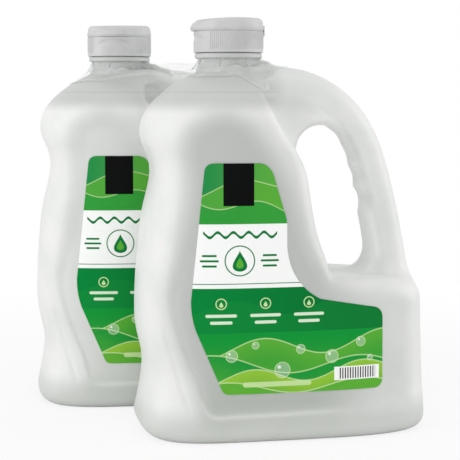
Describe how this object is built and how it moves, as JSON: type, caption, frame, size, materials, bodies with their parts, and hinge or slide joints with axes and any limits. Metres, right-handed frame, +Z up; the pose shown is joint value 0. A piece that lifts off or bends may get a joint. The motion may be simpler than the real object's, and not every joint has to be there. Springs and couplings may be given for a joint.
{
  "type": "hand soap refill pack",
  "caption": "Handled translucent refill jugs of liquid hand soap with labels and flip-top screw closures, joined at the necks by a clear film carrier.",
  "frame": {"origin": "on the floor, under the middle of the pack's bounding box", "axes": "+Z up along the necks; the front labels face -Y; the handles are on the +X side"},
  "size_m": [0.2288, 0.2102, 0.2483],
  "materials": {
    "jug_plastic": "satin translucent natural plastic",
    "soap": "pearly white liquid",
    "label_front": "gloss printed film in greens and white",
    "label_back": "gloss printed film in pale greens and white",
    "foil": "heat-sealed foil",
    "closure_plastic": "satin white moulded plastic",
    "carrier_film": "clear flexible film"
  },
  "bodies": {
    "pack": {"front_jug": "jug_plastic", "front_soap": "soap", "front_front_label": "label_front", "front_back_label": "label_back", "front_mouth_seal": "foil", "rear_jug": "jug_plastic", "rear_soap": "soap", "rear_front_label": "label_front", "rear_back_label": "label_back", "rear_mouth_seal": "foil", "neck_carrier": "carrier_film"},
    "front_closure": {"front_closure": "closure_plastic"},
    "front_lid": {"front_lid": "closure_plastic"},
    "rear_closure": {"rear_closure": "closure_plastic"},
    "rear_lid": {"rear_lid": "closure_plastic"}
  },
  "joints": [
    {"name": "front_closure_turn", "type": "hinge", "parent": "pack", "child": "front_closure", "pos_m": [-0.0051, -0.05342, 0.23], "axis": [0, 0, 1], "range_deg": [0, 400]},
    {"name": "front_lid_flip", "type": "hinge", "parent": "front_closure", "child": "front_lid", "pos_m": [0.01657, -0.05228, 0.24045], "axis": [-0.0523, 0.9986, 0], "range_deg": [0, 140]},
    {"name": "rear_closure_turn", "type": "hinge", "parent": "pack", "child": "rear_closure", "pos_m": [-0.0577, 0.05358, 0.23], "axis": [0, 0, 1], "range_deg": [0, 400]},
    {"name": "rear_lid_flip", "type": "hinge", "parent": "rear_closure", "child": "rear_lid", "pos_m": [-0.051, 0.07422, 0.24045], "axis": [-0.9511, 0.309, 0], "range_deg": [0, 140]}
  ]
}
